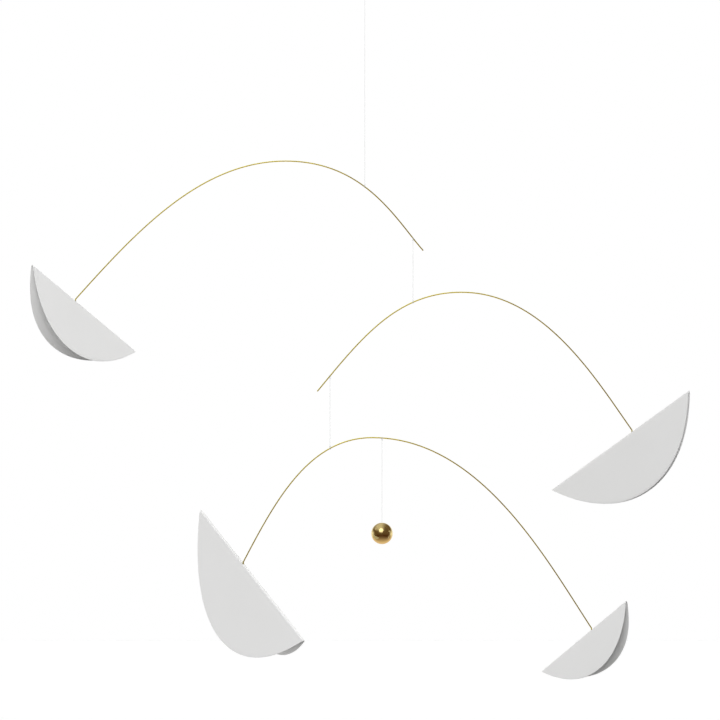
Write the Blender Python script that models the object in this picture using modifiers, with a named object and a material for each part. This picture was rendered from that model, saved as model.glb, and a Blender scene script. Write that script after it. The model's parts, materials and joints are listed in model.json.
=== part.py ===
"""Hanging mobile: three arched brass wires, four folded metal leaves and a hollow ball, on threads.

Metres, +Z up, +X to the right. The origin is where a hook carries the loop at the top of the thread.
The wires lie in the XZ plane at rest; each leaf is turned about the upright end of its own wire.
"""

import math
from collections import namedtuple

import bmesh
import bpy
from mathutils import Euler, Matrix, Vector
from mathutils.geometry import interpolate_bezier

# Threads and their knots
THREAD_DIAMETER = 0.0003
LOOP_HEIGHT = 0.012
LOOP_WIDTH = 0.006
LOOP_POINTS = 28
LOOP_KNOT_DIAMETER = 0.0016
TURN_THICKNESS = 0.0006
TURN_POINTS = 16
TURN_CLEARANCE = 0.0002
KNOT_DIAMETER = 0.0012
KNOT_SUNK = 0.0003
KNOT_RINGS = 6
# A knot is turned about its thread so that its edges miss those of its turn of thread
KNOT_TWIST_DEG = 8.0
GAP = 0.0003

# How far each wire's middle hangs below what its thread is tied to, and the ball's below its wire
UPPER_DROP = 0.2039
MIDDLE_DROP = 0.0641
LOWER_DROP = 0.0725
BALL_DROP = 0.0953

# Leaves: sheets folded in two along a straight crease, cut to a pointed bulge on each side
EDGE_BULGE = 0.155
EDGE_SEGMENTS = 32
FOLD_SEGMENTS = 10
HOLE_SEGMENTS = 8
CENTROID_STEPS = 400
HOLE_CLEARANCE = 0.0002
ROCK_DEG = 12.0
BEAD_DIAMETER = 0.002
# A leaf's blank before it is cut to its outline, as a multiple of the leaf
BLANK_OVERSIZE = 1.3

# slope: the crease's fall from level; turn: the low tip's direction seen from above; lean: sideways
Leaf = namedtuple("Leaf", "length depth half_opening slope turn lean gauge")
UPPER_LEFT_LEAF = Leaf(0.1559, 0.0478, 14.7, 33.7, 38.6, 3.2, 0.000366)
MIDDLE_RIGHT_LEAF = Leaf(0.1832, 0.0591, 0.7, 33.1, 152.1, 0.3, 0.000438)
LOWER_LEFT_LEAF = Leaf(0.2326, 0.0756, 13.4, 33.1, -57.5, 5.4, 0.000490)
LOWER_RIGHT_LEAF = Leaf(0.1249, 0.0383, 14.7, 35.3, 144.9, -7.0, 0.000500)

# Wires
WIRE_DIAMETER = 0.0012
END_BEND_RADIUS = 0.002
PIN_ABOVE_FOLD = 0.0006
SEGMENTS_PER_SIDE = 22
SEGMENTS_PER_BEND = 4

# One side of an arch: from its top to its end, with the two handles of the curve between them
Side = namedtuple("Side", "reach drop top_handle end_handle end_slope leaf")
# An arch: its two sides, and where along it (from its top) it hangs and carries the next thread
Arch = namedtuple("Arch", "left right hung_at carries_at")

UPPER_ARCH = Arch(
    left=Side(0.2097, 0.1376, 0.0846, 0.0917, 48.1, UPPER_LEFT_LEAF),
    right=Side(0.1375, 0.0895, 0.0792, 0.0410, 48.6, None),
    hung_at=0.0791,
    carries_at=0.1273,
)
MIDDLE_ARCH = Arch(
    left=Side(0.1442, 0.0991, 0.0648, 0.0689, 50.4, None),
    right=Side(0.1701, 0.1374, 0.0818, 0.0622, 54.8, MIDDLE_RIGHT_LEAF),
    hung_at=-0.0485,
    carries_at=-0.1315,
)
LOWER_ARCH = Arch(
    left=Side(0.1287, 0.1239, 0.0624, 0.0708, 62.5, LOWER_LEFT_LEAF),
    right=Side(0.2189, 0.1901, 0.1070, 0.0836, 56.8, LOWER_RIGHT_LEAF),
    hung_at=-0.0423,
    carries_at=0.0097,
)

# Ball: a hollow shell with a small hole on top for the thread and a larger one below for its knot
BALL_DIAMETER = 0.0216
BALL_WALL = 0.00105
BALL_TOP_HOLE = 0.0011
BALL_BOTTOM_HOLE = 0.0030
BALL_STOP_KNOT_DIAMETER = 0.0020
BALL_SEGMENTS = 28
BALL_ARC_POINTS = 15

THREAD_RADIUS = THREAD_DIAMETER / 2
WIRE_RADIUS = WIRE_DIAMETER / 2
KNOT_RADIUS = KNOT_DIAMETER / 2
BEAD_RADIUS = BEAD_DIAMETER / 2
FOLD_INNER_RADIUS = BEAD_RADIUS + GAP
# From the wire's middle, square to the wire, to the middle of a turn of thread round it
TURN_RADIUS = WIRE_RADIUS + TURN_CLEARANCE + TURN_THICKNESS / 2
# The widest point of a drop-shaped loop's formula
DROP_SHAPE_WIDEST = 4 / (3 * math.sqrt(3))


# Scene and materials


def cleared_scene():
    """Removes every object and returns the collections for the parts and for the cutters."""
    for obj in list(bpy.data.objects):
        bpy.data.objects.remove(obj)
    parts = bpy.data.collections.new("hanging_mobile")
    cutters = bpy.data.collections.new("cutters")
    for collection in (parts, cutters):
        bpy.context.scene.collection.children.link(collection)
    return parts, cutters


def finish(name, colour, roughness, metallic):
    """A plain Principled material."""
    material = bpy.data.materials.new(name)
    material.use_nodes = True
    shader = material.node_tree.nodes["Principled BSDF"]
    shader.inputs["Base Color"].default_value = (*colour, 1.0)
    shader.inputs["Roughness"].default_value = roughness
    shader.inputs["Metallic"].default_value = metallic
    return material


# Building blocks


def mesh_object(name, mesh, material, collection):
    mesh.materials.clear()
    mesh.materials.append(material)
    obj = bpy.data.objects.new(name, mesh)
    collection.objects.link(obj)
    return obj


def shade_round(mesh, sharp_deg=40):
    mesh.shade_smooth()
    mesh.set_sharp_from_angle(angle=math.radians(sharp_deg))


def tube(name, points, radius, material, collection, closed=False):
    """A round bar along the points, as a curve: closed on itself, or with filled ends."""
    curve = bpy.data.curves.new(name, "CURVE")
    curve.dimensions = "3D"
    curve.twist_mode = "Z_UP"
    curve.bevel_depth = radius
    curve.bevel_resolution = 2
    curve.use_fill_caps = not closed
    spline = curve.splines.new("POLY")
    spline.points.add(len(points) - 1)
    for point, place in zip(spline.points, points):
        point.co = (*place, 1.0)
    spline.use_cyclic_u = closed
    spline.use_smooth = True
    curve.materials.append(material)
    obj = bpy.data.objects.new(name, curve)
    collection.objects.link(obj)
    return obj


def as_mesh(obj):
    """A curve object's shape as a closed mesh in the curve's own frame; the curve is removed."""
    bpy.context.view_layer.update()
    evaluated = obj.evaluated_get(bpy.context.evaluated_depsgraph_get())
    mesh = bpy.data.meshes.new_from_object(evaluated)
    curve = obj.data
    bpy.data.objects.remove(obj)
    bpy.data.curves.remove(curve)
    welded = bmesh.new()
    welded.from_mesh(mesh)
    bmesh.ops.remove_doubles(welded, verts=welded.verts, dist=1e-7)
    bmesh.ops.recalc_face_normals(welded, faces=welded.faces)
    welded.to_mesh(mesh)
    welded.free()
    return mesh


def prism(name, outline, thickness, turned, material, collection):
    """A flat outline given a thickness, as a mesh; turned places its plane."""
    curve = bpy.data.curves.new(name, "CURVE")
    curve.dimensions = "2D"
    curve.fill_mode = "BOTH"
    curve.extrude = thickness / 2
    spline = curve.splines.new("POLY")
    spline.points.add(len(outline) - 1)
    for point, (x, y) in zip(spline.points, outline):
        point.co = (x, y, 0.0, 1.0)
    spline.use_cyclic_u = True
    flat = bpy.data.objects.new(name, curve)
    collection.objects.link(flat)
    mesh = as_mesh(flat)
    mesh.transform(turned)
    return mesh_object(name, mesh, material, collection)


def sphere(name, diameter, material, collection, rings=KNOT_RINGS):
    mesh = bpy.data.meshes.new(name)
    ball = bmesh.new()
    bmesh.ops.create_uvsphere(ball, u_segments=2 * rings, v_segments=rings, radius=diameter / 2)
    ball.to_mesh(mesh)
    ball.free()
    shade_round(mesh)
    return mesh_object(name, mesh, material, collection)


def below(place, distance):
    return place - Vector((0.0, 0.0, distance))


def as_cutter(obj, carrier):
    """Hides a shape that only cuts, and lets it move with what it cuts."""
    obj.parent = carrier
    obj.hide_render = True
    obj.display_type = "WIRE"


def cut(obj, cutter, operation):
    boolean = obj.modifiers.new(cutter.name, "BOOLEAN")
    boolean.operation = operation
    boolean.solver = "EXACT"
    boolean.object = cutter


# Wires


def side_curve(side, direction):
    """The points of one side of an arch, from its top outwards; direction is 1 to the right."""
    slope = math.radians(side.end_slope)
    end = Vector((direction * side.reach, 0.0, -side.drop))
    along = Vector((direction * math.cos(slope), 0.0, -math.sin(slope)))
    return interpolate_bezier(
        Vector(),
        Vector((direction * side.top_handle, 0.0, 0.0)),
        end - along * side.end_handle,
        end,
        SEGMENTS_PER_SIDE + 1,
    )


def fold_outer_radius(leaf):
    return FOLD_INNER_RADIUS + leaf.gauge


def pin_length(leaf):
    """From the bead's middle to the bend above it, which clears the fold however the leaf rocks."""
    steepest = math.radians(leaf.slope + ROCK_DEG)
    return fold_outer_radius(leaf) / math.cos(steepest) + PIN_ABOVE_FOLD


def upright_end(side, direction):
    """The points that bend a side's end down until it is upright, and the middle of its bead."""
    slope = math.radians(side.end_slope)
    end = Vector((direction * side.reach, 0.0, -side.drop))
    bend = []
    for step in range(1, SEGMENTS_PER_BEND + 1):
        angle = slope + (math.pi / 2 - slope) * step / SEGMENTS_PER_BEND
        out = math.sin(angle) - math.sin(slope)
        down = math.cos(slope) - math.cos(angle)
        bend.append(end + END_BEND_RADIUS * Vector((direction * out, 0.0, -down)))
    bead = below(bend[-1], pin_length(side.leaf))
    tip = below(bead, -BEAD_RADIUS - GAP)
    return [*bend, tip], bead


def arch_points(arch):
    """All the points of an arched wire, from its left end to its right end."""
    sides = []
    for side, direction in ((arch.left, -1), (arch.right, 1)):
        points = side_curve(side, direction)
        if side.leaf:
            points = [*points, *upright_end(side, direction)[0]]
        sides.append(points)
    return [*reversed(sides[0]), *sides[1][1:]]


def on_arch(arch, x):
    """The point of the arch at x from its top, and its slope there in radians."""
    points = arch_points(arch)
    for before, after in zip(points, points[1:]):
        if before.x <= x <= after.x:
            share = (x - before.x) / (after.x - before.x)
            along = after - before
            return before.lerp(after, share), math.atan2(along.z, along.x)
    raise ValueError(f"the arch has no point {x} m from its top")


def wire(name, arch, material, collection):
    """An arched wire, with its origin in the turn of thread that it hangs from."""
    middle, _ = on_arch(arch, arch.hung_at)
    points = [point - middle for point in arch_points(arch)]
    return tube(name, points, WIRE_RADIUS, material, collection)


# Knots and threads


def turn_height(slope):
    """How far above the middle of a sloping wire an upright turn of thread round it reaches."""
    return TURN_RADIUS / math.cos(slope)


def knot_offset(slope):
    """How far above or below the middle of the wire the middle of a knot on its turn is."""
    return turn_height(slope) + TURN_THICKNESS / 2 + KNOT_RADIUS - KNOT_SUNK


def knot_reach(slope):
    """How far above or below the middle of the wire a knot's far side is."""
    return knot_offset(slope) + KNOT_RADIUS


def tied_knot(name, slope, side, material, parts, cutters):
    """An upright turn of thread round a wire and its knot, above (1) or below (-1) the wire."""
    turn = []
    for step in range(TURN_POINTS):
        angle = 2 * math.pi * step / TURN_POINTS
        turn.append(Vector((0.0, TURN_RADIUS * math.sin(angle), turn_height(slope) * math.cos(angle))))
    loop = tube(name, turn, TURN_THICKNESS / 2, material, parts, closed=True)
    obj = mesh_object(name, as_mesh(loop), material, parts)
    knot = sphere(name + "_ball", KNOT_DIAMETER, material, cutters)
    as_cutter(knot, obj)
    knot.location.z = side * knot_offset(slope)
    knot.rotation_euler.z = math.radians(KNOT_TWIST_DEG)
    cut(obj, knot, "UNION")
    return obj


def thread(name, length, material, collection):
    """A straight thread that hangs down from its origin."""
    points = [Vector(), Vector((0.0, 0.0, -length))]
    return tube(name, points, THREAD_RADIUS, material, collection)


def loop_points():
    """A drop-shaped loop of thread, round on top; its inner side is at the origin on top."""
    points = []
    for step in range(LOOP_POINTS):
        angle = 2 * math.pi * step / LOOP_POINTS
        across = math.sin(angle) * math.sin(angle / 2) / DROP_SHAPE_WIDEST
        up = (1 - math.cos(angle)) / 2
        down = (1 - up) * LOOP_HEIGHT - THREAD_RADIUS
        points.append(Vector((across * LOOP_WIDTH / 2, 0.0, -down)))
    return points


# Leaves


def edge_depth(share):
    """How deep the leaf is at a share of its crease from one tip, as a share of its full depth."""
    across = 2 * share - 1
    return (1 - across**2) * (1 + EDGE_BULGE * across**2)


def centroid_share():
    """How deep the middle of a leaf's area lies below the crease, as a share of its full depth."""
    depths = [edge_depth((step + 0.5) / CENTROID_STEPS) for step in range(CENTROID_STEPS)]
    return sum(depth**2 for depth in depths) / (2 * sum(depths))


def high_length(leaf):
    """The crease from the upper tip to the bead, set so that the leaf hangs at its slope."""
    below_bead = leaf.depth * centroid_share() - fold_outer_radius(leaf)
    return leaf.length / 2 - math.tan(math.radians(leaf.slope)) * below_bead


def fold_section(leaf):
    """The folded sheet cut across: two straight sides from a round fold, open at the bottom."""
    opening = math.radians(leaf.half_opening)
    reach = leaf.depth * BLANK_OVERSIZE
    outlines = []
    for radius in (fold_outer_radius(leaf), FOLD_INNER_RADIUS):
        arc = []
        for step in range(FOLD_SEGMENTS + 1):
            angle = opening + (math.pi - 2 * opening) * step / FOLD_SEGMENTS
            arc.append((radius * math.cos(angle), radius * math.sin(angle)))
        (right_y, right_z), (left_y, left_z) = arc[0], arc[-1]
        foot_right = (right_y + reach * math.sin(opening), right_z - reach * math.cos(opening))
        foot_left = (left_y - reach * math.sin(opening), left_z - reach * math.cos(opening))
        outlines.append([foot_right, *arc, foot_left])
    outer, inner = outlines
    return [*outer, *reversed(inner)]


def side_outline(leaf):
    """The leaf seen from its side: straight along the crease and bulging below it."""
    start = -high_length(leaf)
    crease = fold_outer_radius(leaf)
    outline = []
    for step in range(EDGE_SEGMENTS + 1):
        share = step / EDGE_SEGMENTS
        outline.append((start + share * leaf.length, crease - leaf.depth * edge_depth(share)))
    return outline


def hole_outline(leaf):
    """A slot that lets the upright wire end pass while the leaf leans and rocks."""
    slope, rock = math.radians(leaf.slope), math.radians(ROCK_DEG)
    near, far = slope - rock, slope + rock
    low = FOLD_INNER_RADIUS * math.tan(near) - WIRE_RADIUS / math.cos(near) - HOLE_CLEARANCE
    high = fold_outer_radius(leaf) * math.tan(far) + WIRE_RADIUS / math.cos(far) + HOLE_CLEARANCE
    sideways = fold_outer_radius(leaf) * math.tan(math.radians(abs(leaf.lean)))
    half_width = WIRE_RADIUS + HOLE_CLEARANCE + sideways
    outline = []
    for centre, turned in ((-low - half_width, 0.0), (-high + half_width, math.pi)):
        for step in range(HOLE_SEGMENTS + 1):
            angle = turned + math.pi / 2 - math.pi * step / HOLE_SEGMENTS
            outline.append((centre + half_width * math.cos(angle), half_width * math.sin(angle)))
    return outline


def folded_leaf(name, leaf, material, parts, cutters):
    """A folded sheet cut to its outline, with its origin at the middle of the bead it hangs on."""
    across = Matrix(((0, 0, 1), (1, 0, 0), (0, 1, 0))).to_4x4()
    sideways = Matrix.Rotation(math.pi / 2, 4, "X")
    obj = prism(name, fold_section(leaf), 2 * BLANK_OVERSIZE * leaf.length, across, material, parts)
    half_width = leaf.depth * math.tan(math.radians(leaf.half_opening)) + fold_outer_radius(leaf)
    width = 2 * BLANK_OVERSIZE * half_width
    side = prism(name + "_side", side_outline(leaf), width, sideways, material, cutters)
    hole = prism(name + "_hole", hole_outline(leaf), 2 * width, Matrix(), material, cutters)
    hole.location.z = width
    for cutter, operation in ((side, "INTERSECT"), (hole, "DIFFERENCE")):
        as_cutter(cutter, obj)
        cut(obj, cutter, operation)
    turned = (math.radians(leaf.lean), math.radians(leaf.slope), math.radians(leaf.turn))
    obj.rotation_euler = Euler(turned, "XYZ")
    return obj


# Ball


def hollow_ball(name, material, collection):
    """A shell turned about the thread, open at its two holes."""
    outer, inner = BALL_DIAMETER / 2, BALL_DIAMETER / 2 - BALL_WALL
    profile = []
    for radius, downwards in ((outer, True), (inner, False)):
        first = math.asin(BALL_TOP_HOLE / 2 / radius)
        last = math.pi - math.asin(BALL_BOTTOM_HOLE / 2 / radius)
        arc = []
        for step in range(BALL_ARC_POINTS):
            angle = first + (last - first) * step / (BALL_ARC_POINTS - 1)
            arc.append(Vector((radius * math.sin(angle), 0.0, radius * math.cos(angle))))
        profile += arc if downwards else reversed(arc)
    mesh = bpy.data.meshes.new(name)
    count = len(profile)
    mesh.from_pydata(profile, [(i, (i + 1) % count) for i in range(count)], [])
    obj = mesh_object(name, mesh, material, collection)
    screw = obj.modifiers.new("turned", "SCREW")
    screw.steps = BALL_SEGMENTS
    screw.render_steps = BALL_SEGMENTS
    screw.use_merge_vertices = True
    screw.merge_threshold = 0.00001
    screw.use_smooth_shade = True
    return obj


# Assembly


class Hung(namedtuple("Hung", "obj place")):
    """A piece and where its origin is, for what it carries."""

    def carry(self, obj, place):
        """Makes a piece move with this one, with its origin at a place."""
        obj.parent = self.obj
        obj.location = place - self.place
        return Hung(obj, place)


def hung_arch(name, arch, drop, carrier, start, finishes, parts, cutters):
    """A thread from a tie, the knot at its end and the wire in that; returns wire and arch top."""
    middle, slope = on_arch(arch, arch.hung_at)
    top = below(start.place, start.reach + GAP)
    pivot = below(start.place, drop)
    length = top.z - pivot.z - knot_reach(slope) - GAP
    line = carrier.carry(thread(start.thread, length, finishes["thread"], parts), top)
    knot = tied_knot(name + "_knot", slope, 1, finishes["thread"], parts, cutters)
    knot = line.carry(knot, pivot)
    bar = knot.carry(wire(name + "_wire", arch, finishes["brass"], parts), pivot)
    return bar, pivot - middle


# Where a thread is tied: its name, the middle of what it is tied to, and how far down the knot is
Tie = namedtuple("Tie", "thread place reach")


def tie_under(name, thread_name, arch, arch_top, bar, finishes, parts, cutters):
    """The knot under a wire that carries the next thread, and the tie that it makes."""
    point, slope = on_arch(arch, arch.carries_at)
    place = arch_top + point
    knot = tied_knot(name, slope, -1, finishes["thread"], parts, cutters)
    return bar.carry(knot, place), Tie(thread_name, place, knot_reach(slope))


def hung_leaf(name, side, direction, arch_top, bar, finishes, parts, cutters):
    """The bead on a wire's upright end and the leaf that hangs on it."""
    place = arch_top + upright_end(side, direction)[1]
    bead = bar.carry(sphere(name + "_bead", BEAD_DIAMETER, finishes["brass"], parts), place)
    bead.carry(folded_leaf(name + "_leaf", side.leaf, finishes["leaf"], parts, cutters), place)


def build():
    parts, cutters = cleared_scene()
    finishes = {
        "thread": finish("clear_thread", (0.85, 0.86, 0.86), 0.25, 0.0),
        "brass": finish("brass", (0.62, 0.43, 0.14), 0.25, 1.0),
        "leaf": finish("white_leaf", (0.72, 0.72, 0.72), 0.7, 0.0),
    }
    made = (finishes, parts, cutters)

    loop = tube("hanging_loop", loop_points(), THREAD_RADIUS, finishes["thread"], parts, closed=True)
    loop_knot_radius = LOOP_KNOT_DIAMETER / 2
    knot_place = below(Vector(), LOOP_HEIGHT + GAP + loop_knot_radius)
    loop_knot = sphere("loop_knot", LOOP_KNOT_DIAMETER, finishes["thread"], parts)
    loop_knot = Hung(loop, Vector()).carry(loop_knot, knot_place)

    # The upper drop counts from the hook, so this tie's place is the hook's
    top_tie = Tie("top_thread", Vector(), LOOP_HEIGHT + GAP + LOOP_KNOT_DIAMETER)
    upper, upper_top = hung_arch("upper", UPPER_ARCH, UPPER_DROP, loop_knot, top_tie, *made)
    hung_leaf("upper_left", UPPER_ARCH.left, -1, upper_top, upper, *made)

    knot, tie = tie_under("middle_hang_knot", "middle_thread", UPPER_ARCH, upper_top, upper, *made)
    middle, middle_top = hung_arch("middle", MIDDLE_ARCH, MIDDLE_DROP, knot, tie, *made)
    hung_leaf("middle_right", MIDDLE_ARCH.right, 1, middle_top, middle, *made)

    knot, tie = tie_under("lower_hang_knot", "lower_thread", MIDDLE_ARCH, middle_top, middle, *made)
    lower, lower_top = hung_arch("lower", LOWER_ARCH, LOWER_DROP, knot, tie, *made)
    hung_leaf("lower_left", LOWER_ARCH.left, -1, lower_top, lower, *made)
    hung_leaf("lower_right", LOWER_ARCH.right, 1, lower_top, lower, *made)

    # The ball's thread ends in a knot inside it, under the top of its wall
    knot, tie = tie_under("ball_hang_knot", "ball_thread", LOWER_ARCH, lower_top, lower, *made)
    ball_place = below(tie.place, BALL_DROP)
    ceiling = ball_place.z + BALL_DIAMETER / 2 - BALL_WALL
    stop_radius = BALL_STOP_KNOT_DIAMETER / 2
    stop_place = Vector((ball_place.x, ball_place.y, ceiling - GAP - stop_radius))
    top = below(tie.place, tie.reach + GAP)
    length = top.z - stop_place.z - stop_radius - GAP
    line = knot.carry(thread(tie.thread, length, finishes["thread"], parts), top)
    stop = sphere("ball_stop_knot", BALL_STOP_KNOT_DIAMETER, finishes["thread"], parts)
    line.carry(stop, stop_place)
    line.carry(hollow_ball("ball", finishes["brass"], parts), ball_place)


build()
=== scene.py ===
"""Hanging mobile: brass wires, folded white leaves and a brass ball on clear threads, in a pale studio.

Metres, +Z up, +X to the right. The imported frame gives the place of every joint, and each piece is made
there: the wires in the XZ plane, the leaves turned about the upright ends of their wires.
"""

import json
import math
from collections import namedtuple

import bmesh
import bpy
from mathutils import Euler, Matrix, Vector


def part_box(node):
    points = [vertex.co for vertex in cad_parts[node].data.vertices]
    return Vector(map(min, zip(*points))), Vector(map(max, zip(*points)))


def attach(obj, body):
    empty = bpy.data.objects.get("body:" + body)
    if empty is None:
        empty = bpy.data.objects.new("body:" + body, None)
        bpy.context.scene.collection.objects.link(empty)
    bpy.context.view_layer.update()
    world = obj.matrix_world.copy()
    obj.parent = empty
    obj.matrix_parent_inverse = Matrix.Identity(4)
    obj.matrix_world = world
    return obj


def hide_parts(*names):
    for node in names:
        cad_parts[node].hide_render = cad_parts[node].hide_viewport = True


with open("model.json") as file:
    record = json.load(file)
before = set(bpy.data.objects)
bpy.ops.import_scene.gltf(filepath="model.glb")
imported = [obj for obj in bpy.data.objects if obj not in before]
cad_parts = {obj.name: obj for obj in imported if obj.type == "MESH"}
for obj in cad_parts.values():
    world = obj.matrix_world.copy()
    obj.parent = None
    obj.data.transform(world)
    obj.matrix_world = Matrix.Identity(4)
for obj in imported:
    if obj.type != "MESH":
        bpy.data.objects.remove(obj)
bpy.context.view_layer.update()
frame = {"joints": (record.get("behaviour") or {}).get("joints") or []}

# The photograph's frame: its scale at the wires' plane, and the place of its middle
PICTURE_SIDE = 0.72
PICTURE_MIDDLE = Vector((-0.0048, 0.0, -0.377))
CAMERA_DISTANCE = 10.0
SENSOR_WIDTH_MM = 36.0

# Threads and knots
THREAD_DIAMETER = 0.0003
THREAD_RADIUS = THREAD_DIAMETER / 2
THREAD_INTO_KNOT = 0.0005
THREAD_SIDES_RESOLUTION = 3
TURN_PITCH = 1.08 * THREAD_DIAMETER
POINTS_PER_TURN = 12
WIRE_TURNS = 3
WIRE_TURN_CLEARANCE = 0.00015
BARREL_TURNS = 2.5
BARREL_CLEARANCE = 0.00002
SHOULDER_RISE = 0.45
SHOULDER_REACH = 0.8
TAG_LENGTH = 0.0012
LOOP_HEIGHT = 0.012
LOOP_WIDTH = 0.006
LOOP_POINTS = 28
LOOP_BARREL_TURNS = 5
LOOP_BARREL_RADIUS = 0.0006
LOOP_TAG_DROP = 0.0002
STOP_TURNS = 5
STOP_TAG = (Vector((0.0004, 0.0, -0.0004)), Vector((0.0005, 0.0, -0.0009)))

# Wires
WIRE_DIAMETER = 0.0012
WIRE_RADIUS = WIRE_DIAMETER / 2
WIRE_SEGMENTS = 44
WIRE_SIDES_RESOLUTION = 6
WIRE_END_ROUNDING = 0.00016
END_BEND_RADIUS = 0.002
PIN_ABOVE_FOLD = 0.0006
SLOPE_HALVINGS = 40

# Leaves
GAP = 0.0003
EDGE_BULGE = 0.155
CENTROID_STEPS = 400
ROCK_DEG = 12.0
HOLE_CLEARANCE = 0.0002
LEAF_COLUMNS = 120
LEAF_ROWS_PER_SIDE = 20
FOLD_ROWS_PER_SIDE = 6
LEAF_EDGE_ROUNDING = 0.00012
SLOT_SEGMENTS = 40

# Beads and ball
BEAD_DIAMETER = 0.002
BEAD_RADIUS = BEAD_DIAMETER / 2
BEAD_FLAT_SHARE = 0.72
BEAD_HOLE_RADIUS = WIRE_RADIUS + 0.00003
BEAD_RIM_ROUNDING = 0.00005
BALL_DIAMETER = 0.0216
BALL_WALL = 0.00105
BALL_TOP_HOLE = 0.0011
BALL_BOTTOM_HOLE = 0.0030
BALL_RIM_ROUNDING = 0.00018
CUT_TOLERANCE = 0.0000001

# A leaf: its flat length and depth, half the angle between its sides, the crease's fall from level,
# the low tip's direction seen from above, its sideways lean, and the thickness of its sheet
Leaf = namedtuple("Leaf", "length depth half_opening slope turn lean gauge")
UPPER_LEFT_LEAF = Leaf(0.1559, 0.0478, 14.7, 33.7, 38.6, 3.2, 0.000366)
MIDDLE_RIGHT_LEAF = Leaf(0.1832, 0.0591, 0.7, 33.1, 152.1, 0.3, 0.000438)
LOWER_LEFT_LEAF = Leaf(0.2326, 0.0756, 13.4, 33.1, -57.5, 5.4, 0.000490)
LOWER_RIGHT_LEAF = Leaf(0.1249, 0.0383, 14.7, 35.3, 144.9, -7.0, 0.000500)

# One side of an arch: from its top to its end, with the two handles of the curve between them
Side = namedtuple("Side", "reach drop top_handle end_handle end_slope leaf")
# An arch: its two sides, and where along it (from its top) it hangs and carries the next thread
Arch = namedtuple("Arch", "left right hung_at carries_at")
UPPER_ARCH = Arch(
    left=Side(0.2097, 0.1376, 0.0846, 0.0917, 48.1, UPPER_LEFT_LEAF),
    right=Side(0.1375, 0.0895, 0.0792, 0.0410, 48.6, None),
    hung_at=0.0791,
    carries_at=0.1273,
)
MIDDLE_ARCH = Arch(
    left=Side(0.1442, 0.0991, 0.0648, 0.0689, 50.4, None),
    right=Side(0.1701, 0.1374, 0.0818, 0.0622, 54.8, MIDDLE_RIGHT_LEAF),
    hung_at=-0.0485,
    carries_at=-0.1315,
)
LOWER_ARCH = Arch(
    left=Side(0.1287, 0.1239, 0.0624, 0.0708, 62.5, LOWER_LEFT_LEAF),
    right=Side(0.2189, 0.1901, 0.1070, 0.0836, 56.8, LOWER_RIGHT_LEAF),
    hung_at=-0.0423,
    carries_at=0.0097,
)

# Where each joint turns
PIVOT = {joint["name"]: Vector(joint["pos_m"]) for joint in frame["joints"]}


# Camera


def photograph_camera():
    data = bpy.data.cameras.new("camera")
    data.sensor_width = SENSOR_WIDTH_MM
    data.lens = SENSOR_WIDTH_MM * CAMERA_DISTANCE / PICTURE_SIDE
    camera = bpy.data.objects.new("camera", data)
    camera.location = PICTURE_MIDDLE - Vector((0.0, CAMERA_DISTANCE, 0.0))
    camera.rotation_euler = Euler((math.pi / 2, 0.0, 0.0))
    bpy.context.scene.collection.objects.link(camera)
    bpy.context.scene.camera = camera


# Shader maths


class Signal:
    """A shader socket; an expression on signals and numbers adds its Math nodes."""

    def __init__(self, finish, socket):
        self.finish = finish
        self.socket = socket

    def maths(self, operation, first, second):
        return self.finish.node("ShaderNodeMath", {"operation": operation}, {0: first, 1: second})

    def __add__(self, other):
        return self.maths("ADD", self, other)

    def __sub__(self, other):
        return self.maths("SUBTRACT", self, other)

    def __rsub__(self, other):
        return self.maths("SUBTRACT", other, self)

    def __mul__(self, other):
        return self.maths("MULTIPLY", self, other)

    __radd__ = __add__
    __rmul__ = __mul__


class Finish:
    """A node tree, with one method that adds any node."""

    def __init__(self, tree):
        self.tree = tree

    def node(self, kind, settings=None, inputs=None, output=0):
        """Adds a node: its settings first, then the values or links of its sockets."""
        added = self.tree.nodes.new(kind)
        for name, value in (settings or {}).items():
            setattr(added, name, value)
        for name, value in (inputs or {}).items():
            self.feed(added.inputs[name], value)
        return Signal(self, added.outputs[output])

    def feed(self, socket, value):
        if isinstance(value, Signal):
            self.tree.links.new(value.socket, socket)
        else:
            socket.default_value = value

    def place(self):
        return self.node("ShaderNodeTexCoord", output="Object")

    def noise(self, vector, scale, detail=3.0, roughness=0.5):
        inputs = {"Vector": vector, "Scale": scale, "Detail": detail, "Roughness": roughness}
        return self.node("ShaderNodeTexNoise", {}, inputs, "Fac")

    def spread(self, signal, low, high):
        """The signal's part from low to high, as 0 to 1."""
        inputs = {"Value": signal, "From Min": low, "From Max": high}
        return self.node("ShaderNodeMapRange", {"clamp": True}, inputs)

    def mixed(self, share, first, second):
        settings = {"data_type": "RGBA"}
        return self.node("ShaderNodeMix", settings, {0: share, 6: first, 7: second}, 2)

    def bump(self, height, distance):
        inputs = {"Height": height, "Distance": distance, "Strength": 1.0}
        return self.node("ShaderNodeBump", {}, inputs)


def material(name):
    """A new material, its node tree's finish and the sockets of its Principled shader."""
    made = bpy.data.materials.new(name)
    made.use_nodes = True
    return made, Finish(made.node_tree), made.node_tree.nodes["Principled BSDF"].inputs


def grey(value):
    return (value, value, value, 1.0)


# Materials

PAINT_DULL = (0.775, 0.775, 0.768, 1.0)
PAINT_BRIGHT = (0.805, 0.805, 0.802, 1.0)
PAINT_RUBBED = (0.70, 0.70, 0.69, 1.0)
PAINT_CLOUD_SCALE = 18.0
PAINT_SPECK_SCALE = 900.0
PAINT_GLOSS = 0.35
RUB_WIDTH = 0.0012
RUB_SCALE = 240.0
RUB_STRENGTH = 0.35
PEEL_SCALE = 1500.0
WIDE_PEEL_SCALE = 400.0
PEEL_DEPTH = 0.000012
HAIRLINE_STRETCH = (1.0, 1.0, 14.0)
HAIRLINE_DEPTH = 0.000002
NYLON_DULL = (0.66, 0.68, 0.68, 1.0)
NYLON_BRIGHT = (0.78, 0.80, 0.80, 1.0)
NYLON_CLOUD_SCALE = 700.0
NYLON_IOR = 1.53

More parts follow.
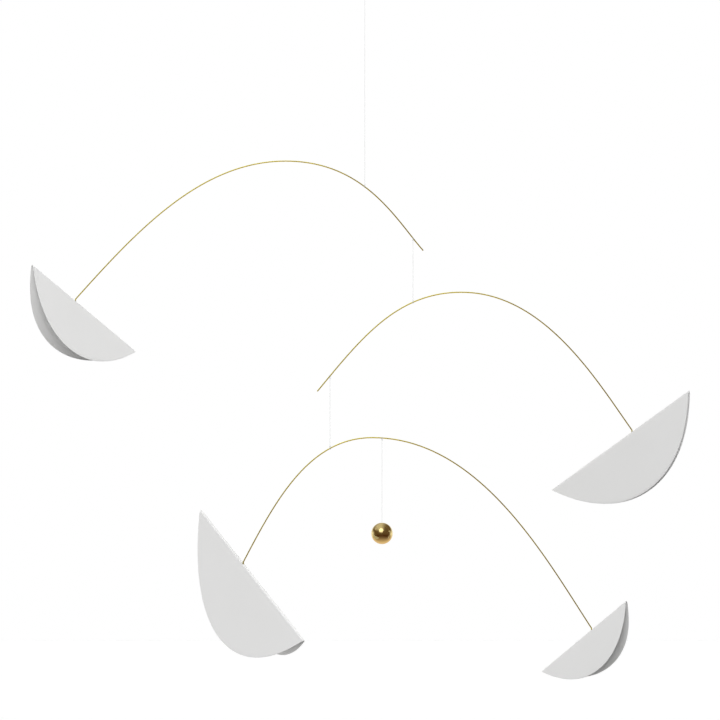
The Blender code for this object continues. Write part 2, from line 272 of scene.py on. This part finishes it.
# A brass: its polish as roughness, its own colour and its tarnish, and how fine its clouds are
Brass = namedtuple("Brass", "roughness colour tarnish cloud_scale")
DRAWN_BRASS = Brass(0.32, (0.98, 0.87, 0.09, 1.0), (0.91, 0.80, 0.07, 1.0), 60.0)
POLISHED_BRASS = Brass(0.13, (0.92, 0.74, 0.34, 1.0), (0.86, 0.67, 0.29, 1.0), 90.0)


def white_leaf_paint():
    """Matt white paint on sheet: a fine orange peel, faint clouds of tone, and a rub along the edge."""
    made, finish, shader = material("white_leaf_paint")
    place = finish.place()
    clouds = finish.noise(place, PAINT_CLOUD_SCALE, 2.0)
    specks = finish.noise(place, PAINT_SPECK_SCALE, 2.0)
    edge = finish.node("ShaderNodeAttribute", {"attribute_name": "edge_distance"}, {}, "Fac")
    patches = finish.spread(finish.noise(place, RUB_SCALE), 0.45, 0.7)
    rub = (1 - finish.spread(edge, 0.0, RUB_WIDTH)) * patches
    tone = finish.mixed(clouds, PAINT_DULL, PAINT_BRIGHT)
    finish.feed(shader["Base Color"], finish.mixed(rub * RUB_STRENGTH, tone, PAINT_RUBBED))
    finish.feed(shader["Roughness"], 0.56 + 0.10 * specks + 0.06 * clouds)
    peel = finish.noise(place, PEEL_SCALE, 2.0) + 0.3 * finish.noise(place, WIDE_PEEL_SCALE, 2.0)
    finish.feed(shader["Normal"], finish.bump(peel, PEEL_DEPTH))
    shader["Specular IOR Level"].default_value = PAINT_GLOSS
    return made


def brass(name, metal):
    """Lacquered brass: warm metal with faint clouds of tarnish and hairline scratches."""
    made, finish, shader = material(name)
    place = finish.place()
    clouds = finish.spread(finish.noise(place, metal.cloud_scale, 4.0, 0.6), 0.35, 0.75)
    stretched = finish.node("ShaderNodeMapping", {}, {"Vector": place, "Scale": HAIRLINE_STRETCH})
    hairlines = finish.noise(stretched, metal.cloud_scale * 24.0, 2.0)
    finish.feed(shader["Base Color"], finish.mixed(clouds * 0.6, metal.colour, metal.tarnish))
    finish.feed(shader["Roughness"], metal.roughness + 0.05 * clouds + 0.05 * hairlines)
    finish.feed(shader["Normal"], finish.bump(hairlines, HAIRLINE_DEPTH))
    shader["Metallic"].default_value = 1.0
    return made


def clear_nylon():
    """Clear monofilament, pale and glossy, with faint cloudiness along it."""
    made, finish, shader = material("clear_nylon")
    clouds = finish.noise(finish.place(), NYLON_CLOUD_SCALE, 2.0)
    finish.feed(shader["Base Color"], finish.mixed(clouds, NYLON_DULL, NYLON_BRIGHT))
    finish.feed(shader["Roughness"], 0.12 + 0.12 * clouds)
    finish.feed(shader["Alpha"], 0.50 + 0.2 * clouds)
    shader["IOR"].default_value = NYLON_IOR
    return made


# Modelling helpers


def clear_selection():
    if bpy.context.object and bpy.context.object.mode != "OBJECT":
        bpy.ops.object.mode_set(mode="OBJECT")
    bpy.ops.object.select_all(action="DESELECT")


def take(obj, name):
    """Names a new object and makes it the only one selected."""
    clear_selection()
    obj.name = name
    obj.data.name = name
    obj.select_set(True)
    bpy.context.view_layer.objects.active = obj
    return obj


def in_edit_mode(obj, mode="FACE"):
    take(obj, obj.name)
    bpy.ops.object.mode_set(mode="EDIT")
    bpy.ops.mesh.select_mode(type=mode)


def choose(obj, test, kind="faces"):
    """In edit mode: selects only the faces, edges or vertices that pass the test."""
    shape = bmesh.from_edit_mesh(obj.data)
    for element in [*shape.verts, *shape.edges, *shape.faces]:
        element.select_set(False)
    for element in getattr(shape, kind):
        if test(element):
            element.select_set(True)
    shape.select_flush_mode()
    bmesh.update_edit_mesh(obj.data)


def apply_modifier(obj, name, kind, **settings):
    take(obj, obj.name)
    modifier = obj.modifiers.new(name, kind)
    for setting, value in settings.items():
        setattr(modifier, setting, value)
    bpy.ops.object.modifier_apply(modifier=modifier.name)


def fixed_in_place(obj):
    """Puts the object's place into its mesh, so that the object sits unturned at the origin."""
    take(obj, obj.name)
    bpy.ops.object.transform_apply(location=True, rotation=True, scale=True)


def hung(obj, paint, body, node):
    """Paints a piece and hangs it on its body, in place of its CAD node."""
    obj.data.materials.clear()
    obj.data.materials.append(paint[0])
    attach(obj, body)
    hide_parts(node)
    return obj


def finished(obj, paint, body, node, smooth_deg=35.0):
    """Shades a finished piece smooth up to an angle, and hangs it on its body."""
    take(obj, obj.name)
    bpy.ops.object.shade_smooth_by_angle(angle=math.radians(smooth_deg))
    return hung(obj, paint, body, node)


def rounded_edges(obj, width, segments, sharp_deg):
    """Rounds every edge that is sharper than an angle."""
    apply_modifier(
        obj, "rounding", "BEVEL", width=width, segments=segments,
        limit_method="ANGLE", angle_limit=math.radians(sharp_deg),
    )


def tube_curve(name, points, radius, smooth):
    """A round bar through the points, as a curve: smoothed through them, or straight between them."""
    curve = bpy.data.curves.new(name, "CURVE")
    curve.dimensions = "3D"
    curve.bevel_depth = radius
    curve.bevel_resolution = THREAD_SIDES_RESOLUTION
    curve.use_fill_caps = True
    curve.resolution_u = 3
    spline = curve.splines.new("BEZIER" if smooth else "POLY")
    made = spline.bezier_points if smooth else spline.points
    made.add(len(points) - 1)
    for point, place in zip(made, points):
        if smooth:
            point.co = place
            point.handle_left_type = point.handle_right_type = "AUTO"
        else:
            point.co = (*place, 1.0)
    obj = bpy.data.objects.new(name, curve)
    bpy.context.scene.collection.objects.link(obj)
    return obj


def made_mesh(obj):
    """Turns a curve into a closed mesh: its caps are welded on and its faces point outwards."""
    take(obj, obj.name)
    bpy.ops.object.convert(target="MESH")
    in_edit_mode(obj, "VERT")
    bpy.ops.mesh.select_all(action="SELECT")
    bpy.ops.mesh.remove_doubles(threshold=0.0000005)
    bpy.ops.mesh.normals_make_consistent(inside=False)
    bpy.ops.object.mode_set(mode="OBJECT")
    return obj


# Threads


def tied_thread(node, knot, paint):
    """A taut thread along its CAD solid, run a little way into the knots at its ends."""
    low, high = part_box(node)
    middle = (low + high) / 2
    top = Vector((middle.x, middle.y, high.z + THREAD_INTO_KNOT))
    bottom = Vector((middle.x, middle.y, low.z - THREAD_INTO_KNOT))
    obj = tube_curve(node + "_line", [top, bottom], THREAD_RADIUS, smooth=False)
    hung(obj, paint, node, node)


def around(centre, along, start, radius, turns, pitch):
    """The points of a helix about an axis, from the direction start."""
    along = along.normalized()
    first = start.normalized()
    second = along.cross(first)
    points = []
    count = round(turns * POINTS_PER_TURN)
    for step in range(count + 1):
        angle = 2 * math.pi * step / POINTS_PER_TURN
        rise = (step / POINTS_PER_TURN - turns / 2) * pitch
        outwards = first * math.cos(angle) + second * math.sin(angle)
        points.append(centre + along * rise + radius * outwards)
    return points


def wound_thread(node, points, body, paint):
    """A knot's own thread, smoothed through its points."""
    obj = made_mesh(tube_curve(node + "_wound", points, THREAD_RADIUS, smooth=True))
    return finished(obj, paint, body, node, smooth_deg=60.0)


def tied_knot(node, place, slope, side, paint):
    """Turns of thread round a wire and a barrel of turns round the thread itself, above or below it."""
    up = Vector((0.0, 0.0, side))
    out = Vector((0.0, -1.0, 0.0))
    along_wire = side * Vector((math.cos(slope), 0.0, math.sin(slope)))
    turn_radius = WIRE_RADIUS + THREAD_RADIUS + WIRE_TURN_CLEARANCE
    barrel_radius = 2 * THREAD_RADIUS + BARREL_CLEARANCE
    barrel_height = BARREL_TURNS * TURN_PITCH
    low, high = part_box(node)
    top = max(high.z - place.z, place.z - low.z)
    base = top - barrel_height - THREAD_DIAMETER
    wire_turns = around(place, along_wire, out, turn_radius, WIRE_TURNS - 0.5, TURN_PITCH)
    middle = place + up * (base + barrel_height / 2)
    barrel = around(middle, up, -out, barrel_radius, BARREL_TURNS, TURN_PITCH)
    standing = [place + up * (top - THREAD_DIAMETER), place + up * base]
    shoulder = up * (base + turn_radius) * SHOULDER_RISE
    front_shoulder = place + shoulder + out * turn_radius * SHOULDER_REACH
    rear_shoulder = place + shoulder - out * turn_radius * SHOULDER_REACH
    tag = [
        barrel[-1] + Vector((TAG_LENGTH / 2, 0.0, 0.0)),
        barrel[-1] + Vector((TAG_LENGTH, 0.0, side * THREAD_DIAMETER)),
    ]
    points = [*standing, front_shoulder, *wire_turns, rear_shoulder, *barrel, *tag]
    return wound_thread(node, points, node, paint)


def loop_line(knot_top, knot_bottom):
    """The loop's own line: up one leg from inside its knot, round the hook and down the other."""
    widest = 4 / (3 * math.sqrt(3))
    round_part = []
    for step in range(1, LOOP_POINTS):
        angle = 2 * math.pi * step / LOOP_POINTS
        across = math.sin(angle) * math.sin(angle / 2) / widest * LOOP_WIDTH / 2
        down = (1 + math.cos(angle)) / 2 * LOOP_HEIGHT - THREAD_RADIUS
        if abs(across) > THREAD_RADIUS or down < LOOP_HEIGHT / 2:
            round_part.append(Vector((across, 0.0, -down)))
    legs = []
    for x in (THREAD_RADIUS, -THREAD_RADIUS):
        legs.append([Vector((x, 0.0, knot_bottom)), Vector((x, 0.0, knot_top))])
    return [*legs[0], *round_part, *reversed(legs[1])]


def length_of(points):
    return sum((after - before).length for before, after in zip(points, points[1:]))


def hanging_loop(paint):
    """The loop on the hook and the barrel knot that closes it."""
    low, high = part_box("loop_knot")
    middle = (low + high) / 2
    line = loop_line(high.z, low.z)
    obj = tube_curve("hanging_loop_line", line, THREAD_RADIUS, smooth=True)
    hung(obj, paint, "hanging_loop", "hanging_loop")

    down = Vector((0.0, 0.0, -1.0))
    out = Vector((0.0, -1.0, 0.0))
    barrel = around(middle, down, out, LOOP_BARREL_RADIUS, LOOP_BARREL_TURNS, TURN_PITCH)
    tag = barrel[-1] + Vector((TAG_LENGTH, 0.0, -LOOP_TAG_DROP))
    knot = wound_thread("loop_knot", [*barrel, tag], "loop_knot", paint)
    length_of(line)


def stop_knot(paint):
    """The knot inside the ball: an inner barrel down the thread and an outer one back over it."""
    low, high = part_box("ball_stop_knot")
    middle = (low + high) / 2
    up = Vector((0.0, 0.0, 1.0))
    out = Vector((0.0, -1.0, 0.0))
    inner_radius = 2 * THREAD_RADIUS + BARREL_CLEARANCE
    outer_radius = inner_radius + THREAD_DIAMETER + BARREL_CLEARANCE
    inner = around(middle, -up, out, inner_radius, STOP_TURNS, TURN_PITCH)
    outer = around(middle, up, out, outer_radius, STOP_TURNS, TURN_PITCH)
    tag = [outer[-1] + place for place in STOP_TAG]
    return wound_thread("ball_stop_knot", [*inner, *outer, *tag], "ball_thread", paint)


# Wires


def slope_at(arch, x):
    """The wire's slope at x from its top, from the same curve as the wire's."""
    side, direction = (arch.right, 1) if x > 0 else (arch.left, -1)
    points = side_corners(side, direction)
    low, high = 0.0, 1.0
    for _ in range(SLOPE_HALVINGS):
        middle = (low + high) / 2
        if abs(curve_place(points, middle).x) < abs(x):
            low = middle
        else:
            high = middle
    step = 0.0001
    along = curve_place(points, low + step) - curve_place(points, low - step)
    return math.atan(along.z / along.x)


def side_corners(side, direction):
    """The four corners of the curve of one side of an arch, from its top outwards."""
    slope = math.radians(side.end_slope)
    end = Vector((direction * side.reach, 0.0, -side.drop))
    along = Vector((direction * math.cos(slope), 0.0, -math.sin(slope)))
    return [Vector(), Vector((direction * side.top_handle, 0.0, 0.0)), end - along * side.end_handle, end]


def curve_place(corners, share):
    rest = 1 - share
    weights = (rest**3, 3 * rest**2 * share, 3 * rest * share**2, share**3)
    return sum((corner * weight for corner, weight in zip(corners, weights)), Vector())


def fold_outer_radius(leaf):
    return BEAD_RADIUS + GAP + leaf.gauge


def bead_below(side, direction):
    """The middle of a side's bead, and the top of the upright end above it, from the arch's top."""
    slope = math.radians(side.end_slope)
    corners = side_corners(side, direction)
    bend = Vector((direction * (1 - math.sin(slope)), 0.0, -math.cos(slope)))
    upright = corners[-1] + bend * END_BEND_RADIUS
    steepest = math.radians(side.leaf.slope + ROCK_DEG)
    pin = fold_outer_radius(side.leaf) / math.cos(steepest) + PIN_ABOVE_FOLD
    return upright - Vector((0.0, 0.0, pin)), upright


def side_handles(side, direction):
    """A side's points below the arch's top: place, handle towards the top and handle away from it."""
    corners = side_corners(side, direction)
    end = corners[-1]
    if not side.leaf:
        return [(end, corners[2], end)]
    slope = math.radians(side.end_slope)
    along = Vector((direction * math.cos(slope), 0.0, -math.sin(slope)))
    bead, upright = bead_below(side, direction)
    tip = bead - Vector((0.0, 0.0, BEAD_FLAT_SHARE * BEAD_RADIUS + 0.5 * GAP))
    bend_handle = 4 / 3 * math.tan((math.pi / 2 - slope) / 4) * END_BEND_RADIUS
    down = Vector((0.0, 0.0, -1.0))
    straight = (tip - upright) / 3
    return [
        (end, corners[2], end + along * bend_handle),
        (upright, upright - down * bend_handle, upright + straight),
        (tip, tip - straight, tip),
    ]


def arched_wire(node, arch, top, paint):
    """A drawn wire bent to its arch, with its cut ends rounded off."""
    left = side_handles(arch.left, -1)
    right = side_handles(arch.right, 1)
    knots = [(place, away, near) for place, near, away in reversed(left)]
    left_top = Vector((-arch.left.top_handle, 0.0, 0.0))
    right_top = Vector((arch.right.top_handle, 0.0, 0.0))
    knots = [*knots, (Vector(), left_top, right_top), *right]

    curve = bpy.data.curves.new(node + "_bar", "CURVE")
    curve.dimensions = "3D"
    curve.twist_mode = "MINIMUM"
    curve.bevel_depth = WIRE_RADIUS
    curve.bevel_resolution = WIRE_SIDES_RESOLUTION
    curve.use_fill_caps = True
    curve.resolution_u = WIRE_SEGMENTS
    spline = curve.splines.new("BEZIER")
    spline.bezier_points.add(len(knots) - 1)
    for point, (place, before, after) in zip(spline.bezier_points, knots):
        point.handle_left_type = point.handle_right_type = "FREE"
        point.co = top + place
        point.handle_left = top + before
        point.handle_right = top + after
    obj = bpy.data.objects.new(node + "_bar", curve)
    bpy.context.scene.collection.objects.link(obj)
    made_mesh(obj)

    in_edit_mode(obj)
    choose(obj, lambda face: len(face.verts) > 4)
    bpy.ops.mesh.bevel(offset=WIRE_END_ROUNDING, segments=3, affect="EDGES")
    bpy.ops.object.mode_set(mode="OBJECT")
    return finished(obj, paint, node, node, smooth_deg=50.0)


# Beads and ball


def cut_off(obj, height, above):
    """In edit mode: cuts away what is above (or below) a height and leaves the cut open."""
    bpy.ops.mesh.select_all(action="SELECT")
    bpy.ops.mesh.bisect(
        plane_co=(0.0, 0.0, height), plane_no=(0.0, 0.0, 1.0), use_fill=False,
        clear_outer=above, clear_inner=not above, threshold=CUT_TOLERANCE,
    )


def stop_bead(node, place, paint):
    """A turned bead, flat at both ends, bored for the wire, which comes through it."""
    clear_selection()
    bpy.ops.mesh.primitive_uv_sphere_add(segments=40, ring_count=22, radius=BEAD_RADIUS)
    obj = take(bpy.context.active_object, node + "_turned")
    flat = BEAD_FLAT_SHARE * BEAD_RADIUS
    in_edit_mode(obj, "EDGE")
    cut_off(obj, flat, above=True)
    cut_off(obj, -flat, above=False)
    inward = BEAD_HOLE_RADIUS / math.sqrt(BEAD_RADIUS**2 - flat**2)
    for height in (flat, -flat):
        choose(obj, lambda edge: edge.is_boundary and abs(edge.verts[0].co.z - height) < 1e-7, "edges")
        bpy.ops.mesh.extrude_edges_move()
        bpy.ops.transform.resize(value=(inward, inward, 1.0))
    choose(obj, lambda edge: edge.is_boundary, "edges")
    bpy.ops.mesh.bridge_edge_loops()
    bpy.ops.mesh.select_all(action="SELECT")
    bpy.ops.mesh.normals_make_consistent(inside=False)
    bpy.ops.object.mode_set(mode="OBJECT")
    rounded_edges(obj, BEAD_RIM_ROUNDING, 2, 30)
    obj.location = place
    fixed_in_place(obj)
    return finished(obj, paint, node, node)


def hollow_ball(place, paint):
    """A polished shell, open on top for its thread and below for its knot, with eased rims."""
    clear_selection()
    radius = BALL_DIAMETER / 2
    bpy.ops.mesh.primitive_uv_sphere_add(segments=96, ring_count=68, radius=radius)
    obj = take(bpy.context.active_object, "ball_shell")
    in_edit_mode(obj, "EDGE")
    cut_off(obj, math.sqrt(radius**2 - (BALL_TOP_HOLE / 2) ** 2), above=True)
    cut_off(obj, -math.sqrt(radius**2 - (BALL_BOTTOM_HOLE / 2) ** 2), above=False)
    bpy.ops.mesh.select_all(action="SELECT")
    bpy.ops.mesh.normals_make_consistent(inside=False)
    bpy.ops.object.mode_set(mode="OBJECT")
    apply_modifier(obj, "wall", "SOLIDIFY", thickness=BALL_WALL, offset=-1.0)
    rounded_edges(obj, BALL_RIM_ROUNDING, 3, 40)
    obj.location = place
    fixed_in_place(obj)
    return finished(obj, paint, "ball", "ball")


# Leaves


def edge_depth(share):
    """How deep the leaf is at a share of its crease from one tip, as a share of its full depth."""
    across = 2 * share - 1
    return (1 - across**2) * (1 + EDGE_BULGE * across**2)


def centroid_share():
    """How deep the middle of a leaf's area lies below the crease, as a share of its full depth."""
    depths = [edge_depth((step + 0.5) / CENTROID_STEPS) for step in range(CENTROID_STEPS)]
    return sum(depth**2 for depth in depths) / (2 * sum(depths))


def leaf_start(leaf):
    """The crease's upper tip, from the bead, set so that the leaf hangs at its slope."""
    below_bead = leaf.depth * centroid_share() - fold_outer_radius(leaf)
    return math.tan(math.radians(leaf.slope)) * below_bead - leaf.length / 2


def sheet_place(leaf, share, row):
    """The outer face's point at a share of the crease and a signed row from the crease to an edge."""
    opening = math.radians(leaf.half_opening)
    radius = fold_outer_radius(leaf)
    foot = radius - leaf.depth * edge_depth(share)
    fold_foot = radius * math.sin(opening)
    rows_down = abs(row)
    if foot >= fold_foot:
        angle = math.pi / 2 - (math.pi / 2 - math.asin(foot / radius)) * rows_down
        across, height = radius * math.cos(angle), radius * math.sin(angle)
    elif rows_down * LEAF_ROWS_PER_SIDE <= FOLD_ROWS_PER_SIDE:
        turned = rows_down * LEAF_ROWS_PER_SIDE / FOLD_ROWS_PER_SIDE
        angle = math.pi / 2 - (math.pi / 2 - opening) * turned
        across, height = radius * math.cos(angle), radius * math.sin(angle)
    else:
        past_fold = LEAF_ROWS_PER_SIDE - FOLD_ROWS_PER_SIDE
        down = (rows_down * LEAF_ROWS_PER_SIDE - FOLD_ROWS_PER_SIDE) / past_fold * (fold_foot - foot)
        across = radius * math.cos(opening) + down * math.tan(opening)
        height = fold_foot - down
    return Vector((leaf_start(leaf) + share * leaf.length, math.copysign(across, row), height))


def slot_cutter(leaf):
    """A rod with a long round section, where the wire's end passes through the fold."""
    slope, rock = math.radians(leaf.slope), math.radians(ROCK_DEG)
    near, far = slope - rock, slope + rock
    inner = fold_outer_radius(leaf) - leaf.gauge
    low = inner * math.tan(near) - WIRE_RADIUS / math.cos(near) - HOLE_CLEARANCE
    high = fold_outer_radius(leaf) * math.tan(far) + WIRE_RADIUS / math.cos(far) + HOLE_CLEARANCE
    sideways = fold_outer_radius(leaf) * math.tan(math.radians(abs(leaf.lean)))
    half_width = WIRE_RADIUS + HOLE_CLEARANCE + sideways
    clear_selection()
    height = 4 * fold_outer_radius(leaf)
    bpy.ops.mesh.primitive_cylinder_add(
        vertices=SLOT_SEGMENTS, radius=half_width, depth=height,
        location=(-high + half_width, 0.0, height / 2),
    )
    cutter = take(bpy.context.active_object, "slot_cutter")
    in_edit_mode(cutter, "VERT")
    choose(cutter, lambda vertex: vertex.co.x > 1e-6, "verts")
    bpy.ops.transform.translate(value=(high - low - 2 * half_width, 0.0, 0.0))
    bpy.ops.object.mode_set(mode="OBJECT")
    return cutter


def folded_leaf(node, leaf, place, paint):
    """A sheet folded in two over the bead: its outline, its gauge, eased edges and the wire's slot."""
    clear_selection()
    rows = 2 * LEAF_ROWS_PER_SIDE
    bpy.ops.mesh.primitive_grid_add(x_subdivisions=LEAF_COLUMNS, y_subdivisions=rows, size=2.0)
    obj = take(bpy.context.active_object, node + "_sheet")
    for vertex in obj.data.vertices:
        vertex.co = sheet_place(leaf, (vertex.co.x + 1) / 2, vertex.co.y)
    in_edit_mode(obj, "VERT")
    bpy.ops.mesh.select_all(action="SELECT")
    bpy.ops.mesh.remove_doubles(threshold=0.000001)
    bpy.ops.mesh.normals_make_consistent(inside=False)
    bpy.ops.object.mode_set(mode="OBJECT")
    if max(obj.data.polygons, key=lambda face: face.center.z).normal.z < 0:
        obj.data.flip_normals()
    apply_modifier(obj, "gauge", "SOLIDIFY", thickness=leaf.gauge, offset=-1.0)
    rounded_edges(obj, LEAF_EDGE_ROUNDING, 2, 60)
    cutter = slot_cutter(leaf)
    apply_modifier(obj, "slot", "BOOLEAN", operation="DIFFERENCE", solver="EXACT", object=cutter)
    bpy.data.objects.remove(cutter)

    attribute = obj.data.attributes.new("edge_distance", "FLOAT", "POINT")
    crease = fold_outer_radius(leaf)
    for vertex, value in zip(obj.data.vertices, attribute.data):
        share = (vertex.co.x - leaf_start(leaf)) / leaf.length
        value.value = vertex.co.z - crease + leaf.depth * edge_depth(share)

    turned = (leaf.lean, leaf.slope, leaf.turn)
    obj.rotation_euler = Euler([math.radians(angle) for angle in turned])
    obj.location = place
    fixed_in_place(obj)
    return finished(obj, paint, node, node)


# Studio

FLOOR_HEIGHT = -1.5
FLOOR_SIZE = 60.0
FLOOR_TONE = 0.62
FLOOR_GLOW = 0.46

# A round light: how high and how far to the right it is, half its width and its brightness
Light = namedtuple("Light", "height_deg right_deg half_angle_deg radiance")
ROUND_LAMP = Light(34.0, -11.0, 22.0, 1.25)
LAMP_DISTANCE = 3.4
# Soft light on the paint only: four round patches of the room, and the paper behind
LEVEL_LIGHT = Light(0.0, 0.0, 18.0, 2.0)
FRONT_LIGHT = Light(20.0, 0.0, 18.0, 3.2)
LEFT_LIGHT = Light(0.0, -35.0, 18.0, 1.15)
RIGHT_LIGHT = Light(45.0, 70.0, 18.0, 6.5)
BACK_LEFT_RADIANCE = 1.53
# What polished metal sees round it: colours, and where one passes into the next
WHITE = (1.0, 1.0, 1.0, 1.0)
DARK_ROOM = (0.12, 0.08, 0.045, 1.0)
NEAR_FLOOR = (0.07, 0.03, 0.01, 1.0)
FAR_FLOOR = (0.80, 0.66, 0.54, 1.0)
PAPER_SIDE = (-0.02, 0.25)
PAPER_TOP = (0.33, 0.68)
PAPER_TOP_FALL = 0.42
CEILING_EDGE = (0.35, 0.8)
CEILING_LEFT = (0.45, -0.05)
CEILING_DIM = 0.03
CEILING_RISE = 0.52
FAR_FLOOR_EDGE = (0.03, 0.75)
HORIZON = (-0.05, -0.35)


def towards(light):
    """The direction of a light, seen from the object."""
    height, right = math.radians(light.height_deg), math.radians(light.right_deg)
    level = math.cos(height)
    return Vector((math.sin(right) * level, -math.cos(right) * level, math.sin(height)))


def round_lamp():
    """A round soft box in front and above, seen in the ball as its highlight."""
    radius = LAMP_DISTANCE * math.tan(math.radians(ROUND_LAMP.half_angle_deg))
    data = bpy.data.lights.new("round_lamp", "AREA")
    data.shape = "DISK"
    data.size = 2 * radius
    data.energy = ROUND_LAMP.radiance * math.pi**2 * radius**2
    lamp = bpy.data.objects.new("round_lamp", data)
    lamp.location = PIVOT["ball_spin"] + LAMP_DISTANCE * towards(ROUND_LAMP)
    lamp.rotation_euler = (-towards(ROUND_LAMP)).to_track_quat("-Z", "Y").to_euler()
    bpy.context.scene.collection.objects.link(lamp)


def far_light(name, light):
    """A round light far away, which metal does not reflect."""
    data = bpy.data.lights.new(name, "SUN")
    data.angle = math.radians(2 * light.half_angle_deg)
    data.energy = light.radiance * math.pi * math.sin(math.radians(light.half_angle_deg)) ** 2
    lamp = bpy.data.objects.new(name, data)
    lamp.rotation_euler = (-towards(light)).to_track_quat("-Z", "Y").to_euler()
    lamp.visible_glossy = False
    bpy.context.scene.collection.objects.link(lamp)


def reflected_studio(finish, side, away, height):
    """White paper behind, a dark room in front, a pale ceiling on the left and the floor's sheen."""
    across = finish.node("ShaderNodeMath", {"operation": "ABSOLUTE"}, {0: side})
    above_paper = finish.spread(height + PAPER_TOP_FALL * across, *PAPER_TOP)
    behind = finish.spread(away, *PAPER_SIDE) * (1 - above_paper)
    lit = CEILING_DIM + CEILING_RISE * finish.spread(side, *CEILING_LEFT)
    ceiling = finish.spread(height, *CEILING_EDGE) * lit
    far = finish.spread(0.50 + 0.5 * away - 0.4 * side * side, *FAR_FLOOR_EDGE)
    room = finish.mixed(ceiling, DARK_ROOM, WHITE)
    paper = finish.mixed(behind, room, WHITE)
    floor = finish.mixed(far, NEAR_FLOOR, FAR_FLOOR)
    return finish.mixed(finish.spread(height, *HORIZON), paper, floor)


def studio_world():
    """White where the camera sees it, soft light on the paint, and a studio for metal to reflect."""
    world = bpy.data.worlds.new("studio")
    bpy.context.scene.world = world
    world.use_nodes = True
    tree = world.node_tree
    finish = Finish(tree)
    ray = tree.nodes.new("ShaderNodeLightPath")
    glossy = Signal(finish, ray.outputs["Is Glossy Ray"])
    through = Signal(finish, ray.outputs["Is Transmission Ray"])
    seen = Signal(finish, ray.outputs["Is Camera Ray"]) + through
    direction = finish.node("ShaderNodeTexCoord", output="Generated")
    axes = tree.nodes.new("ShaderNodeSeparateXYZ")
    finish.feed(axes.inputs[0], direction)
    side, away, height = (Signal(finish, axes.outputs[axis]) for axis in "XYZ")
    soft = BACK_LEFT_RADIANCE * finish.spread(away - side, 0.0, math.sqrt(2))
    background = tree.nodes["Background"]
    reflected = reflected_studio(finish, side, away, height)
    finish.feed(background.inputs["Color"], finish.mixed(glossy, WHITE, reflected))
    finish.feed(background.inputs["Strength"], soft + (1 - soft) * (seen + glossy))


def pale_floor():
    """A white floor far below, which keeps the object's soft shadow."""
    clear_selection()
    bpy.ops.mesh.primitive_plane_add(size=FLOOR_SIZE, location=(0.0, 0.0, FLOOR_HEIGHT))
    floor = take(bpy.context.active_object, "floor")
    made = bpy.data.materials.new("floor")
    made.use_nodes = True
    finish = Finish(made.node_tree)
    shader = made.node_tree.nodes["Principled BSDF"].inputs
    camera = finish.node("ShaderNodeLightPath", output="Is Camera Ray")
    shader["Base Color"].default_value = grey(FLOOR_TONE)
    shader["Roughness"].default_value = 0.9
    shader["Specular IOR Level"].default_value = 0.0
    shader["Emission Color"].default_value = grey(1.0)
    finish.feed(shader["Emission Strength"], FLOOR_GLOW * camera)
    floor.data.materials.append(made)
    floor.visible_glossy = floor.visible_diffuse = floor.visible_shadow = False


# Assembly


def hang_arch(name, arch, leaves, paints):
    """A wire, and the bead and leaf on each of its leafed ends."""
    first_side, first_direction, first_leaf = leaves[0]
    arch_top = PIVOT[first_leaf + "_leaf_turn"] - bead_below(first_side, first_direction)[0]
    arched_wire(name + "_wire", arch, arch_top, paints["brass"])
    for side, direction, leaf_name in leaves:
        place = arch_top + bead_below(side, direction)[0]
        stop_bead(leaf_name + "_bead", place, paints["brass"])
        folded_leaf(leaf_name + "_leaf", side.leaf, place, paints["leaf"])


def build():
    photograph_camera()
    paints = {
        "thread": (clear_nylon(), "clear_thread"),
        "brass": (brass("drawn_brass", DRAWN_BRASS), "brass"),
        "polished": (brass("polished_brass", POLISHED_BRASS), "brass"),
        "leaf": (white_leaf_paint(), "white_leaf"),
    }
    thread = paints["thread"]

    hanging_loop(thread)
    knots = {}
    for name, pivot, arch, x, side in (
        ("upper_knot", "upper_tilt", UPPER_ARCH, UPPER_ARCH.hung_at, 1),
        ("middle_hang_knot", "middle_front_swing", UPPER_ARCH, UPPER_ARCH.carries_at, -1),
        ("middle_knot", "middle_tilt", MIDDLE_ARCH, MIDDLE_ARCH.hung_at, 1),
        ("lower_hang_knot", "lower_front_swing", MIDDLE_ARCH, MIDDLE_ARCH.carries_at, -1),
        ("lower_knot", "lower_tilt", LOWER_ARCH, LOWER_ARCH.hung_at, 1),
        ("ball_hang_knot", "ball_front_swing", LOWER_ARCH, LOWER_ARCH.carries_at, -1),
    ):
        knots[name] = tied_knot(name, PIVOT[pivot], slope_at(arch, x), side, thread)
    tied_thread("top_thread", knots["upper_knot"], thread)
    tied_thread("middle_thread", knots["middle_knot"], thread)
    tied_thread("lower_thread", knots["lower_knot"], thread)
    tied_thread("ball_thread", stop_knot(thread), thread)

    lower_leaves = [(LOWER_ARCH.left, -1, "lower_left"), (LOWER_ARCH.right, 1, "lower_right")]
    hang_arch("upper", UPPER_ARCH, [(UPPER_ARCH.left, -1, "upper_left")], paints)
    hang_arch("middle", MIDDLE_ARCH, [(MIDDLE_ARCH.right, 1, "middle_right")], paints)
    hang_arch("lower", LOWER_ARCH, lower_leaves, paints)
    hollow_ball(PIVOT["ball_spin"], paints["polished"])

    round_lamp()
    far_light("level_light", LEVEL_LIGHT)
    far_light("front_light", FRONT_LIGHT)
    far_light("left_light", LEFT_LIGHT)
    far_light("right_light", RIGHT_LIGHT)
    studio_world()
    pale_floor()
    bpy.context.scene.view_settings.view_transform = "Standard"


build()
